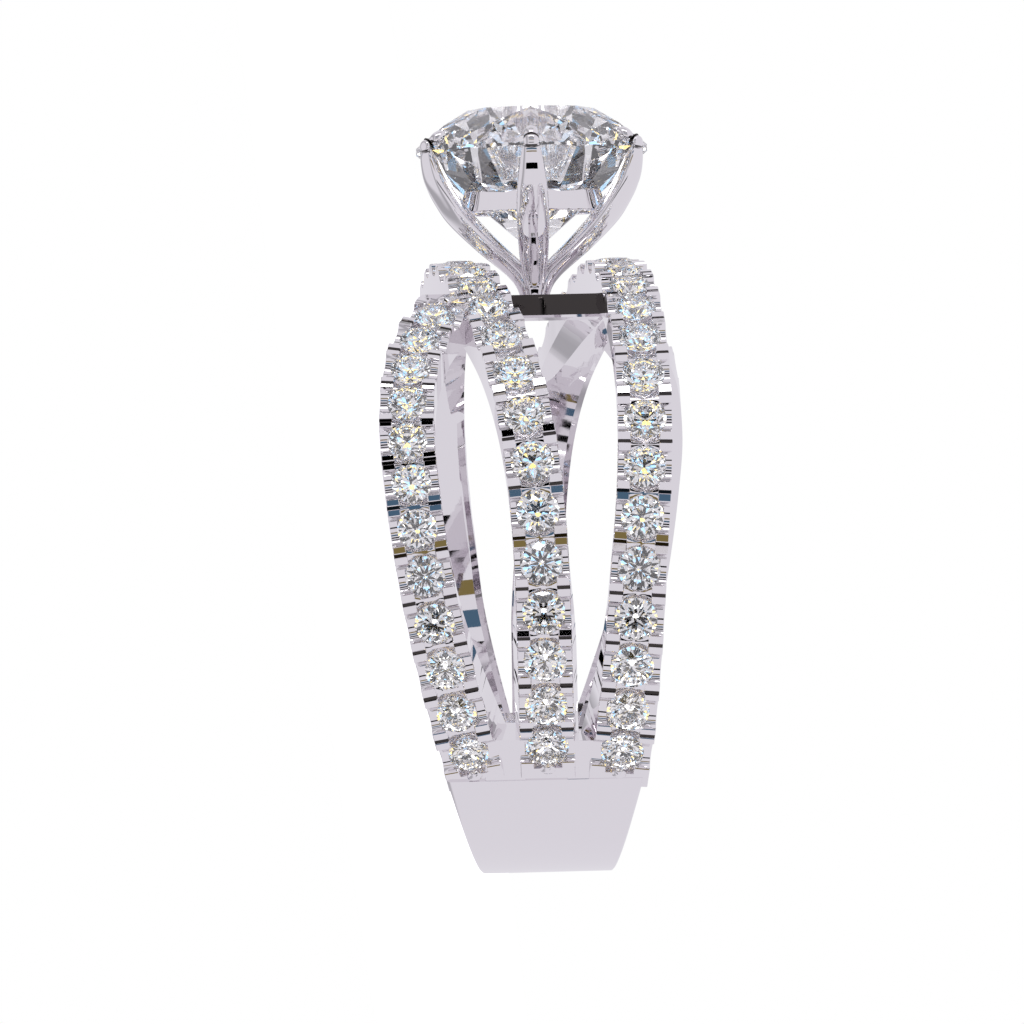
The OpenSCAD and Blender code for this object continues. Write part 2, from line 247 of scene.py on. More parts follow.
RAIL_PATH = np.array([
    [-45, 2.30, 1.10], [-30, 2.63, 1.08], [-15, 2.90, 1.05], [0, 3.13, 1.02], [15, 3.36, 1],
    [30, 3.46, 1], [45, 3.41, 1], [60, 3.24, 1], [75, 2.96, 1], [90, 2.62, 1],
    [105, 2.18, 1], [120, 1.58, 1], [135, 0.90, 1], [150, 0.40, 1], [165, 0.10, 1],
    [180, -0.04, 1], [195, -0.07, 1], [210, -0.08, 1], [225, -0.10, 1]])
STRAND_PATH = np.array([
    [-45, -2.14, 1.08], [-30, -2.67, 1.05], [-15, -3.22, 1.02], [0, -3.70, 1],
    [15, -4.04, 1], [30, -4.21, 1], [45, -3.94, 1], [60, -2.98, 1], [75, -1.60, 1]])


def smooth(table, place, column):
    """Curve through the rows of a table, by row number: in each span a cubic that leaves and
    reaches its rows with the slope of the line between their neighbours."""
    place = np.asarray(place, float)
    first = np.clip(np.floor(place), 0, len(table) - 2).astype(int)
    t = place - first
    rows = np.clip(first[..., None] + np.arange(-1, 3), 0, len(table) - 1)
    a, b, c, d = np.moveaxis(table[rows, column], -1, 0)
    return 0.5 * (2 * b + (c - a) * t + (2 * a - 5 * b + 4 * c - d) * t**2
                  + (3 * b - a - 3 * c + d) * t**3)


def at_angle(path, angle, column):
    """A column of a route at an angle of the hoop, in degrees."""
    return smooth(path, (np.asarray(angle) - path[0, 0]) / (path[1, 0] - path[0, 0]), column)


def directions(path, angle):
    """Unit vectors across, along and outwards. The slant is the change of X over a degree of
    the hoop's arc."""
    arc = 2 * OUTER_R * np.pi / 180
    slant = np.arctan((at_angle(path, angle + 1, 1) - at_angle(path, angle - 1, 1)) / arc)
    turned = np.radians(angle)
    zero = np.zeros_like(turned)
    across = np.stack([np.cos(slant), -np.sin(slant) * np.sin(turned),
                       -np.sin(slant) * np.cos(turned)], -1)
    along = np.stack([np.sin(slant), np.cos(slant) * np.sin(turned),
                      np.cos(slant) * np.cos(turned)], -1)
    outward = np.stack([zero, -np.cos(turned), np.sin(turned)], -1)
    return across, along, outward, slant


def on_hoop(x, radius, angle):
    """Point at a distance x from the middle, a radius and an angle of the hoop."""
    turned = np.radians(angle)
    return np.stack(np.broadcast_arrays(
        x, -radius * np.cos(turned), radius * np.sin(turned)), -1)


def on_path(path, angle, across, radius):
    """Point beside a route: on its middle line at that radius, then moved across it."""
    side, _, _, _ = directions(path, angle)
    return on_hoop(at_angle(path, angle, 1), radius, angle) + across[..., None] * side


RAIL_STONES, STRAND_STONES = 28, 12
SWAY, SWAY_STONES = 1.2, 9


def sway(number):
    """How far a stone near a rail's foot moves towards that foot: half a sine wave."""
    return SWAY * np.sin(np.pi * np.clip(number, 0, SWAY_STONES) / SWAY_STONES)


rail_number, strand_number = np.arange(RAIL_STONES), np.arange(STRAND_STONES)
rail_angles = (-35.4 + 9.235 * rail_number - sway(rail_number)
               + sway(RAIL_STONES - 1 - rail_number))
strand_angles = -35.2 + 8.83 * strand_number - 0.0048 * strand_number**3
print("rail from", rail_angles[0], "to", round(rail_angles[-1], 1), "degrees")

# %% [markdown]
# ## The plain shank
# The lower half of the hoop is a flat band that grows wider upwards. It could be a bevelled
# cylinder cut to shape, but a rounded section carried round the hoop gives the soft edges and
# the changing width at once.

# %% Plain shank


def rounded_box(left, right, low, high, radius, steps=4):
    """Section with four round corners: quarter circles round the corners of a smaller box."""
    turn_by = np.radians(np.linspace(0, 90, steps))
    corner = np.concatenate([turn_by + np.pi / 2 * quarter for quarter in range(4)])
    x = np.where(np.cos(corner + 0.01) > 0, right - radius, left + radius)
    y = np.where(np.sin(corner + 0.01) > 0, high - radius, low + radius)
    return x + radius * np.cos(corner), y + radius * np.sin(corner)


def plain_shank():
    """The band's width is 4.4 mm at its lowest point, and grows as a power of the angle to
    6.4 mm where the strands start."""
    low_w, high_w, flare = 4.4, 6.4, 1.7
    angle = np.linspace(-180 - SHANK_TOP, SHANK_TOP, 81)
    half = (low_w + (high_w - low_w) * (np.abs(angle + 90) / (90 + SHANK_TOP))**flare) / 2
    sections = [rounded_box(-h, h, BORE_R + 0.03, OUTER_R, 0.14) for h in half]
    x, radius = np.moveaxis(np.array(sections), 1, 0)
    return sweep(on_hoop(x, radius, angle[:, None]))


make_piece("plain_shank", plain_shank(), gold, "mounting")

# %% [markdown]
# ## Rails and strands, cut for stones
# A setter saws and files each rail until only pairs of small square prongs stand over a round
# cut at each stone. The body of a rail is one sweep. Its section has a bevel on the finger
# side, two walls and a groove between them, and the walls' top drops into a half round at each
# stone. The prongs are small blocks of their own, because they stand square to the rail and
# give its edge the steps that the photograph shows.

# %% Sizes of the cut rails
LIP = 0.45
EDGE = 0.02
INNER_BEVEL = 0.25
BEVEL_HEIGHT = 0.45
RIDGE = 0.08
ROW_END = 4.3
END_PRONG, END_PRONG_LENGTH = 0.8, 0.24
END_BEAD = 0.45
BEAD_SIZE = np.array([0.27, 0.19, 0.20])
PRONG_SLOT = 0.115
SLOT_DEPTH = 0.30
SLOT_FLOOR = 0.045
RAIL_CREASE = 21
SADDLE = 0.03
CUT_SLOPE = 0.015
SEAT_FLOOR, SEAT_SLOPE, SEAT_TOP = 9.43, 0.84, 9.98
ARCH_MIDDLE, ARCH_PEAK = 84, 24.5
ARCH_LEFT, ARCH_RIGHT = 24, 11.5
CUT_STEPS = np.radians(np.linspace(-90, 90, 17))


def finger_bevel(half, angle, run):
    """Width of a bevel on the finger side. Near the head it grows by a root until only a
    ridge is left, which ends the flat of the rail in an arch. The run is that side's length."""
    reach = np.clip((ARCH_PEAK + run - np.abs(angle - ARCH_MIDDLE)) / run, 0, 1)
    return INNER_BEVEL + (half - RIDGE / 2 - INNER_BEVEL) * np.sqrt(reach)


def ease(value, start, end):
    """0 before start and 1 after end, with a soft S between."""
    t = np.clip((value - start) / (end - start), 0, 1)
    return t * t * (3 - 2 * t)


def rail_section(half, bevels, low, top, slope, seat, groove, flare_left, flare_right):
    """Section of a rail, one row per place: finger side, left wall, lip, groove and back. A
    flare makes a wall lean out towards the finger. A seat is a cone, so its height grows with
    the distance from the stone's middle."""
    left_rise, right_rise = [low + np.minimum(bevel, BEVEL_HEIGHT) for bevel in bevels]
    edge, none = np.full_like(half, EDGE), np.zeros_like(half)
    left, right = half + flare_left, half + flare_right
    across_seat = np.linspace(-LIP, LIP, 7)
    cone = SEAT_FLOOR + SEAT_SLOPE * np.hypot(across_seat, seat[:, None])
    floor = np.where(groove[:, None], np.minimum(cone, SEAT_TOP), np.asarray(top)[:, None])
    floor_radius = list(floor.T)
    floor_across = [share * np.where(groove, 1, 0.6) for share in across_seat]
    across = [bevels[0] - left, -left, -half, edge - half, -LIP - edge, none - LIP]
    across += floor_across
    across += [none + LIP, LIP + edge, half - edge, half, right, right - bevels[1]]
    outer = top - slope
    radius = [low, left_rise, outer - edge, outer, top, top - edge * groove] + floor_radius
    radius += [top - edge * groove, top, outer, outer - edge, right_rise, low]
    return np.stack(np.broadcast_arrays(*across), -1), np.stack(
        np.broadcast_arrays(*radius), -1)


def rail_stations(path, stones, open_length):
    """Angles along a rail, with the height of its walls there, how much lower their outer
    edges are, and the distance from the nearest stone. Round each stone the place runs with
    the sine and the cut's depth with the cosine of one angle. Between stones a V is filed."""
    slant = directions(path, stones)[3]
    along = open_length / 2 * np.sin(CUT_STEPS)
    spread = np.degrees(along[None] * np.cos(slant)[:, None] / OUTER_R)
    count = len(stones)
    saddle = OUTER_R - SADDLE
    cut = np.tile(np.cos(CUT_STEPS), count)
    slot = np.degrees(PRONG_SLOT / 2 / OUTER_R) * np.array([-1, 0, 1])
    slot_angle = ((stones[:-1] + stones[1:]) / 2)[:, None] + slot
    slot_top = np.tile([saddle, OUTER_R - SLOT_DEPTH, saddle], count - 1)
    flat = np.zeros(slot_top.size)
    angle = np.concatenate([(stones[:, None] + spread).ravel(), slot_angle.ravel()])
    top = np.concatenate([saddle - (saddle - CUT_R) * cut, slot_top])
    return (angle, top, np.concatenate([CUT_SLOPE * cut, flat]),
            np.concatenate([np.tile(along, count), flat + 1]))


def rail_body(path, stones, open_length, low, drops, feet, flares):
    """The sweep of one rail: foot, level end, cut part, level end, foot. Each foot goes on
    into the shank. A row of the table is angle, top, slope, distance and groove."""
    first, last = stones[0] - ROW_END, stones[-1] + ROW_END
    saddle = OUTER_R - SADDLE
    tops = OUTER_R - np.array(drops)
    cut = np.column_stack([*rail_stations(path, stones, open_length),
                           np.ones(len(stones) * len(CUT_STEPS) + 3 * (len(stones) - 1))])
    cut = cut[(cut[:, 0] > first + 0.2) & (cut[:, 0] < last - 0.2)]
    ends = [[place, saddle, 0, 1, 1] for place in (first, first + 0.1, last - 0.1, last)]
    level = [[first - 0.1, tops[0], 0, 1, 0], [last + 0.1, tops[1], 0, 1, 0]]
    feet_places = [[SHANK_TOP - 2, SHANK_TOP + 1], [179 - SHANK_TOP, 182 - SHANK_TOP]]
    for has_foot, places, top in zip(feet, feet_places, tops):
        level += [[place, top, 0, 1, 0] for place in places if has_foot]
    table = np.concatenate([cut, ends, level])
    angle, top, slope, seat, groove = table[np.argsort(table[:, 0], kind="stable")].T
    half = HALF_W * at_angle(path, angle, 2)
    bevels = finger_bevel(half, angle, ARCH_LEFT), finger_bevel(half, angle, ARCH_RIGHT)
    across, radius = rail_section(half, bevels, low, top, slope, seat, groove > 0,
                                  *flares(angle))
    return sweep(on_path(path, angle[:, None], across, radius))


def prong_blocks(path, middles, lengths, sides=(-1, 1), drop=0):
    """Blocks with a flat top and fine bevels, one for each middle angle and side, their tops
    lower than the hoop by the drop. The grid's rings run across the rail."""
    half = HALF_W * at_angle(path, middles, 2) - 0.005
    inner, outer, base = LIP + 0.01, half, CUT_R - 0.1
    fine = 0.022
    long = np.array([-1, -1, -1, 1, 1, 1])
    inset = np.array([0, 0, fine, fine, 0, 0])
    high = np.array([0, 1, 1, 1, 1, 0])
    sunk = np.array([0, fine, 0, 0, fine, 0])
    stations = np.array([0, fine, -fine, 0])
    from_outer = np.array([0, 0, 1, 1])
    lower = np.array([fine, 0, 0, fine])
    side, along, outward, _ = directions(path, middles)
    shells = []
    for sign in sides:
        u = sign * (np.where(from_outer, outer[:, None], inner) + stations)
        s = long * (lengths[:, None] / 2) - long * inset
        r = base + high * (OUTER_R - drop - base) - sunk
        r = r[None] - lower[:, None] * high
        grid = (on_hoop(at_angle(path, middles, 1), 0, middles)[:, None, None]
                + u[:, :, None, None] * side[:, None, None]
                + s[:, None, :, None] * along[:, None, None]
                + r[None, :, :, None] * outward[:, None, None])
        shells.append(grid)
    return sweep(np.concatenate(shells))


def pair_blocks(path, stones, open_length):
    """Two prongs in each gap between stones, parted by a slot."""
    points = on_path(path, stones, np.zeros(len(stones)), OUTER_R)
    gap = np.linalg.norm(np.diff(points, axis=0), axis=1) - open_length
    length = (gap - PRONG_SLOT) / 2
    middle = (stones[:-1] + stones[1:]) / 2
    slant = directions(path, middle)[3]
    shift = np.degrees((PRONG_SLOT + length) / 2 * np.cos(slant) / OUTER_R)
    return prong_blocks(path, np.concatenate([middle - shift, middle + shift]),
                        np.concatenate([length, length]))


def shade_sheets_in_slots(path, stones):
    """Dark sheets that paint the shade in the slots, a little below the tops of the prongs beside
    them.
    """
    middle = (stones[:-1] + stones[1:]) / 2
    return prong_blocks(path, middle, np.full(len(middle), PRONG_SLOT + 0.01), drop=SLOT_FLOOR)


def ball(centre, size, axes=np.eye(3), share=1.0, rings=9, sides=16):
    """An ellipsoid, or the share of it nearest its top: circles whose height runs with the
    cosine and width with the sine. The poles are flat caps too small to see."""
    fall = np.linspace(0.04, np.pi * share - (0.04 if share == 1 else 0), rings)
    round_by = np.linspace(0, 2 * np.pi, sides, endpoint=False)
    local = np.stack(np.broadcast_arrays(
        np.sin(fall)[:, None] * np.cos(round_by), np.sin(fall)[:, None] * np.sin(round_by),
        np.cos(fall)[:, None]), -1) * size
    return sweep((local @ np.asarray(axes) + centre)[None])


def end_beads(path, angles):
    """A polished oval bead across each end of a row of stones."""
    points = on_path(path, angles, np.zeros(len(angles)), OUTER_R - 0.13)
    axes = np.stack(directions(path, angles)[:3], 1)
    return joined(*[ball(point, BEAD_SIZE, frame_of) for point, frame_of in zip(points, axes)])


# %% The two long rails
RAIL_OPEN = 1.03


def rail_flares(angle):
    """Near its front foot a rail's left wall leans out, and near its back foot both walls."""
    front = 0.30 * (1 - ease(angle, -40, -5))
    back = 0.14 * ease(angle, 175, 196)
    return front + back, back


def long_rail():
    """The rail with its foot in the shank at both ends, its prongs and its beads."""
    first, last = rail_angles[0] - ROW_END, rail_angles[-1] + ROW_END
    ends = np.array([first + END_PRONG, last - END_PRONG])
    return joined(
        rail_body(RAIL_PATH, rail_angles, RAIL_OPEN, BORE_R, [0.03, 0.05], [True, True],
                  rail_flares),
        pair_blocks(RAIL_PATH, rail_angles, RAIL_OPEN),
        prong_blocks(RAIL_PATH, ends, np.full(2, END_PRONG_LENGTH)),
        end_beads(RAIL_PATH, np.array([first - END_BEAD, last + END_BEAD])))


right_rail = long_rail()
make_piece("right_rail", right_rail, gold, "mounting", RAIL_CREASE)
make_piece("left_rail", half_turned(right_rail), gold, "mounting", RAIL_CREASE)
# The dark sheets in the rails' slots are painted shade.
rail_shade_sheets = shade_sheets_in_slots(RAIL_PATH, rail_angles)
make_piece("rail_shade_sheets", joined(rail_shade_sheets, half_turned(rail_shade_sheets)), painted_shade, "mounting")

# %% The two short strands
STRAND_OPEN = 0.97


def strand_flares(angle):
    """Near its foot a short strand's right wall leans out towards its neighbour."""
    return 0 * angle, 0.30 * (1 - ease(angle, -40, -5))


def beside_rail(angle):
    """Left wall of the rail beside a short strand, as a distance from the middle."""
    slant = directions(RAIL_PATH, 180 - angle)[3]
    return -at_angle(RAIL_PATH, 180 - angle, 1) - HALF_W / np.cos(slant)


def strand_end():
    """The wall that a short strand's end is soldered with to the rail beside it."""
    angle = strand_angles[-1] + ROW_END + np.array([-0.6, 1.2, 3])
    slant = directions(STRAND_PATH, angle)[3]
    left = at_angle(STRAND_PATH, angle, 1) - HALF_W / np.cos(slant) + 0.03
    right = beside_rail(angle) + 0.15
    low, high = BORE_R + 0.035, OUTER_R - 0.05
    return sweep(on_hoop(np.stack([left, left, right, right], -1),
                         np.array([low, high, high, low]), angle[:, None])[None])


def short_strand():
    """The strand with its prongs. At its far end only the outer prong has room."""
    first, last = strand_angles[0] - ROW_END, strand_angles[-1] + ROW_END
    length = np.full(1, END_PRONG_LENGTH)
    return joined(
        rail_body(STRAND_PATH, strand_angles, STRAND_OPEN, BORE_R + 0.015, [0.07, 0.02],
                  [True, False], strand_flares),
        pair_blocks(STRAND_PATH, strand_angles, STRAND_OPEN),
        prong_blocks(STRAND_PATH, np.array([first + END_PRONG]), length),
        prong_blocks(STRAND_PATH, np.array([last - END_PRONG]), length, (-1,)),
        end_beads(STRAND_PATH, np.array([first - END_BEAD, last + END_BEAD])))


near_strand = short_strand()
make_piece("near_strand", near_strand, gold, "mounting", RAIL_CREASE)
make_piece("far_strand", half_turned(near_strand), gold, "mounting", RAIL_CREASE)
# The dark sheets in the strands' slots are painted shade.
strand_shade_sheets = shade_sheets_in_slots(STRAND_PATH, strand_angles)
make_piece("strand_shade_sheets", joined(strand_shade_sheets, half_turned(strand_shade_sheets)), painted_shade,
           "mounting")
make_piece("strand_ends", joined(strand_end(), half_turned(strand_end())), gold, "mounting")

# %% [markdown]
# ## Floors and bridge
# Where the strands leave the shank, a low floor fills the crotch between them. Under the head
# a flat bar joins the two rails. Both are plain blocks of the casting, and the bar's ends are
# cut towards the finger's axis. They are dark in the photograph, likely by a reflection. Here
# they have a painted dark reflection instead, dark metal that looks dark from everywhere.

# %% Floors between the strands


def strand_floor(top, lag, left, right):
    """A low wall from the shank up to an angle. Its outer face falls from the shank's own
    height, and its finger side stays behind by the lag, so that its upper face is level."""
    angle = np.linspace(SHANK_TOP - 4, top, 7)
    fall = np.interp(angle, [SHANK_TOP, top], [0.03, 0.42])[:, None]
    low = np.full_like(fall, BORE_R + 0.06)
    outer = OUTER_R - fall
    radius = np.concatenate([low, outer - 0.02, outer, outer, outer - 0.02, low], 1)
    x = np.array([left, left, left + 0.02, right - 0.02, right, right])
    behind = lag * np.array([1, 0, 0, 0, 0, 1])
    return sweep(on_hoop(x, radius, angle[:, None] - behind)[None])


front_floors = joined(strand_floor(-33.2, 1.8, -1.95, -0.62), strand_floor(-33.7, 4, 0.7, 1.85))
make_piece("strand_floors", joined(front_floors, half_turned(front_floors)), gold, "mounting")

# %% Bridge under the head


def bridge_bar():
    """A bar between the rails: level above, round with the finger hole below, its two ends
    radial with a bevel at their lower edge."""
    top, half_turn, hole = 9.15, 13.6, BORE_R + 0.06
    arc = np.linspace(90 + half_turn - 1, 90 - half_turn + 1, 15)
    fall = np.array([hole + 0.12, top / np.sin(np.radians(90 - half_turn)) - 0.03])
    ends = np.array([90 - half_turn, 90 - half_turn])
    y = np.concatenate([-hole * np.cos(np.radians(arc)), -fall * np.cos(np.radians(ends)),
                        -fall[::-1] * np.cos(np.radians(180 - ends))])
    z = np.concatenate([hole * np.sin(np.radians(arc)), fall * np.sin(np.radians(ends)),
                        fall[::-1] * np.sin(np.radians(180 - ends))])
    x = np.array([-2.2, 2.2])
    grid = np.stack(np.broadcast_arrays(x[:, None], y, z), -1)
    return sweep(grid[None])


bridge = make_piece("bridge", bridge_bar(), gold, "mounting")
bridge.data.materials.append(painted_shade)
# The faces towards the front and the back get the dark metal, a painted dark reflection.
for face in bridge.data.polygons:
    face.material_index = int(abs(np.dot(face.normal, LIE[:, 1])) > 0.8)

# %% [markdown]
# ## The head
# Six claws rise from one root on the bridge, bow outwards round the gallery rail and close on
# the stone's edge. A claw is wide and flat towards the outside in the middle of its height and
# slim at both ends. Its tip is filed into two small domes, one over the girdle and one lying
# on the crown, with a fine dark line round each, a painted dark reflection on the domes' rims.
# A section with rounded sides, carried through a table of heights, gives the long taper, and
# ellipsoids give the domes and the lines.

# %% Claws
CLAW_ROWS = np.array([
    [8.90, 0.42, 0.00, 0.52], [9.42, 0.60, 0.00, 0.74], [9.75, 0.86, 0.05, 0.90],
    [10.06, 1.22, 0.28, 1.02], [10.75, 2.12, 1.15, 1.18], [11.63, 3.12, 2.15, 1.26],
    [12.27, 3.62, 2.76, 1.24], [12.97, 4.03, 3.25, 1.10], [13.70, 4.18, 3.68, 0.84],
    [14.06, 4.12, 3.96, 0.58]])
CROWN_SLOPE = np.radians(35)
UP_CROWN = np.array([-np.cos(CROWN_SLOPE), 0, np.sin(CROWN_SLOPE)])
OFF_CROWN = np.array([np.sin(CROWN_SLOPE), 0, np.cos(CROWN_SLOPE)])
CROWN_AXES = np.array([UP_CROWN, [0, 1, 0], OFF_CROWN])
GIRDLE_DOME, GIRDLE_DOME_SIZE = np.array([4.10, 0, 14.15]), np.array([0.14, 0.27, 0.22])
CROWN_DOME = np.array([3.9, 0, 14.22]) + 0.36 * UP_CROWN + 0.02 * OFF_CROWN
CROWN_DOME_SIZE = np.array([0.34, 0.25, 0.21])
# UNDER_LINE and DOME_LINE place the dark lines, a painted dark reflection round the domes' rims.
UNDER_LINE, UNDER_LINE_SIZE = np.array([4.07, 0, 13.98]), np.array([0.19, 0.29, 0.028])
DOME_LINE, DOME_LINE_SIZE = np.array([3.95, 0, 14.25]), np.array([0.026, 0.262, 0.225])


def claw_stem():
    """Each ring lies level. It runs round a squarish oval: the radius follows the cosine and
    the width the sine, both raised to a power under one, and the inner side is narrower."""
    place = np.linspace(0, len(CLAW_ROWS) - 1, 64)
    height, outer, inner, width = (smooth(CLAW_ROWS, place, column)[:, None] for column in range(4))
    turned = np.linspace(0, 2 * np.pi, 28, endpoint=False)
    cosine, sine = np.cos(turned), np.sin(turned)
    reach = np.sign(cosine) * np.abs(cosine)**0.75
    spread = np.sign(sine) * np.abs(sine)**0.8 * (0.84 + 0.16 * cosine)
    radius = (outer + inner) / 2 + (outer - inner) / 2 * reach
    grid = np.stack(np.broadcast_arrays(radius, width / 2 * spread, height), -1)
    return sweep(grid[None])


def claw_tip():
    """The lower dome bulges over the girdle, and half an ellipsoid lies on the crown."""
    return joined(ball(GIRDLE_DOME, GIRDLE_DOME_SIZE, rings=13, sides=24),
                  ball(CROWN_DOME, CROWN_DOME_SIZE, CROWN_AXES, share=0.5, sides=24))


def tip_lines():
    """Dark lines under the lower dome and between the two, a painted dark reflection round the
    domes' rims: ellipsoids with a thin edge that stands out a hair past the domes."""
    return joined(ball(UNDER_LINE, UNDER_LINE_SIZE, sides=24),
                  ball(DOME_LINE, DOME_LINE_SIZE, CROWN_AXES, sides=24))


def round_head(shell, angles):
    """Copies of a shell turned about the head's axis."""
    points, faces = shell
    return joined(*[(points @ turn("Z", np.radians(angle)).T, faces) for angle in angles])


CLAW_ANGLES = 30 + 60 * np.arange(6)
make_piece("claws", round_head(joined(claw_stem(), claw_tip()), CLAW_ANGLES), gold, "mounting")
# The claws' dome lines are a painted dark reflection in the dark metal.
make_piece("claw_lines", round_head(tip_lines(), CLAW_ANGLES), painted_shade, "mounting")

# %% Gallery rail


def gallery_rail():
    """A band round a hexagon with its corners at the claws. Its section narrows upwards and
    has fine bevels, and the last corner is joined back to the first."""
    low, high, wide, slim, inner, fine = 11.94, 12.66, 2.82, 2.64, 2.25, 0.04
    radius = np.array([wide, slim, slim - fine, inner + fine, inner, inner, inner + fine,
                       wide - fine])
    height = np.array([low + fine, high - fine, high, high, high - fine, low + fine, low, low])
    angle = np.radians(CLAW_ANGLES)
    grid = np.stack(np.broadcast_arrays(
        radius * np.cos(angle)[:, None], radius * np.sin(angle)[:, None], height), -1)
    points, faces = sweep(grid[None])
    sides = len(radius)
    side = np.arange(sides)
    after = (side + 1) % sides
    last = 5 * sides
    closing = np.stack([last + side, last + after, after, side], -1)
    return points, faces[:-2] + closing.tolist()


make_piece("gallery_rail", gallery_rail(), gold, "mounting", crease=20)

# %% [markdown]
# ## Brilliants
# A round brilliant has a table, eight stars, eight kites and sixteen halves above its girdle,
# and sixteen halves and eight long mains below. The facets could be typed in as points, but a
# cutter grinds planes, and so does this: the stone is what is left inside all the planes. The
# corners are the points where three planes meet and that lie inside all the others.

# %% Cut a brilliant from planes


def plane(a, b, c):
    """Plane through three points as a normal and a distance, with the middle inside."""
    normal = np.cross(b - a, c - a)
    normal /= np.linalg.norm(normal)
    distance = normal @ a
    return np.append(normal, distance) * (1 if distance > 0 else -1)


def brilliant_planes(table, crown, pavilion, girdle, girdle_sides):
    """Planes of a brilliant of diameter 1, from its proportions as shares of the diameter."""
    def around(azimuth, radius, height):
        """Point at an angle round the stone's axis, a radius and a height."""
        turned = np.radians(azimuth)
        return np.array([radius * np.cos(turned), radius * np.sin(turned), height])
    rim, edge = 0.5, girdle / 2
    table_r, top = table / 2, girdle / 2 + crown
    half_cos = np.cos(np.radians(22.5))
    star_r = (rim + table_r) * 0.53
    star_z = top - (star_r * half_cos - table_r) * crown / (rim - table_r)
    low_r = rim * 0.24
    low_z = -edge - (rim - low_r * half_cos) * pavilion / rim
    culet = np.array([0, 0, -edge - pavilion])
    planes = [[0, 0, 1, top]]
    for start in 45 * np.arange(8):
        middle, end = start + 22.5, start + 45
        level = around(start + 90, 1, 0)
        corner, star = around(start, table_r, top), around(middle, star_r, star_z)
        rim_points = [around(a, rim, edge) for a in (start, middle, end)]
        low_points = [around(a, rim, -edge) for a in (start, middle, end)]
        low_half = around(middle, low_r, low_z)
        planes += [
            plane(corner, rim_points[0], corner + level),
            plane(corner, around(end, table_r, top), star),
            plane(star, rim_points[0], rim_points[1]),
            plane(star, rim_points[1], rim_points[2]),
            plane(low_points[0], culet, low_points[0] + level),
            plane(low_half, low_points[0], low_points[1]),
            plane(low_half, low_points[1], low_points[2])]
    step = 360 / girdle_sides
    rim_turn = np.radians(step * (np.arange(girdle_sides) + 0.5))
    flat = rim * np.cos(np.radians(step / 2))
    rims = np.stack([np.cos(rim_turn), np.sin(rim_turn), 0 * rim_turn, flat + 0 * rim_turn], -1)
    return np.concatenate([np.array(planes), rims])


def cut_stone(planes):
    """Corners and faces of the solid inside all planes. Three planes meet in the solution of
    their three equations, and each face lists its corners by their angle about its middle."""
    normals, distances = planes[:, :3], planes[:, 3]
    threes = np.array(list(itertools.combinations(range(len(planes)), 3)))
    solid = np.abs(np.linalg.det(normals[threes])) > 1e-6
    threes = threes[solid]
    corners = np.linalg.solve(normals[threes], distances[threes][..., None])[..., 0]
    inside = (corners @ normals.T <= distances + 1e-7).all(1)
    corners = np.unique(np.round(corners[inside], 6), axis=0)
    faces = []
    for normal, distance in zip(normals, distances):
        on_face = np.flatnonzero(np.abs(corners @ normal - distance) < 5e-6)
        if len(on_face) < 3:
            continue
        spokes = corners[on_face] - corners[on_face].mean(0)
        first = spokes[0] / np.linalg.norm(spokes[0])
        second = np.cross(normal, first)
        faces.append(on_face[np.argsort(np.arctan2(spokes @ second, spokes @ first))].tolist())
    return corners, faces


fine_stone = cut_stone(brilliant_planes(0.55, 0.16, 0.43, 0.03, 64))
small_stone = cut_stone(brilliant_planes(0.56, 0.15, 0.42, 0.03, 32))
print("centre brilliant:", len(fine_stone[1]), "facets; small:", len(small_stone[1]))

# %% Place the stones
GIRDLE_Z = 14.08
CENTRE_D, RAIL_D, STRAND_D = 7.8, 1.38, 1.28
GIRDLE_DROP = 0.15


def centre_brilliant():
    """The unit stone made 7.8 mm across, its girdle at its height above the finger axis."""
    corners, faces = fine_stone
    return corners * CENTRE_D + [0, 0, GIRDLE_Z], faces


def stone_row(path, angles, diameter):
    """The unit stone at each place of a row, turned a little further at each one. Its three
    axes are the directions across, along and outwards there."""
    corners, faces = small_stone
    axes = np.stack(directions(path, angles)[:3], 1)
    seats = on_path(path, angles, np.zeros(len(angles)), OUTER_R - GIRDLE_DROP)
    shells = [((corners * diameter) @ turn("Z", 17.0 * k) @ frame_of + seat, faces)
              for k, (frame_of, seat) in enumerate(zip(axes, seats))]
    return joined(*shells)


rail_row = stone_row(RAIL_PATH, rail_angles, RAIL_D)
strand_row = stone_row(STRAND_PATH, strand_angles, STRAND_D)
stones = [("centre_brilliant", centre_brilliant(), "centre_stone"),
          ("right_rail_brilliants", rail_row, "right_rail_stones"),
          ("left_rail_brilliants", half_turned(rail_row), "left_rail_stones"),
          ("near_strand_brilliants", strand_row, "near_strand_stones"),
          ("far_strand_brilliants", half_turned(strand_row), "far_strand_stones")]
for name, shell, node in stones:
    make_piece(name, shell, diamond, node, crease=0)

# %% [markdown]
# ## Table, studio and camera
# Polished metal shows its surroundings, so the studio matters as much as the metal. A soft
# lilac white is all round the ring, with a darker band low down that parts its walls from its
# outer faces. Narrow cards stand every fifteen or thirty degrees: black flags that draw dark
# lines on the prongs, two dim tints, a tenth of the stones' own amber and sky, a bright strip
# and a grey one. Real cards could be modelled, but bands on the world's sphere cost nothing
# and stay sharp. Stones need far more contrast than a plain
# shank can bear, so light that has crossed a stone meets cards of its own. The camera itself
# looks past them all at plain white.

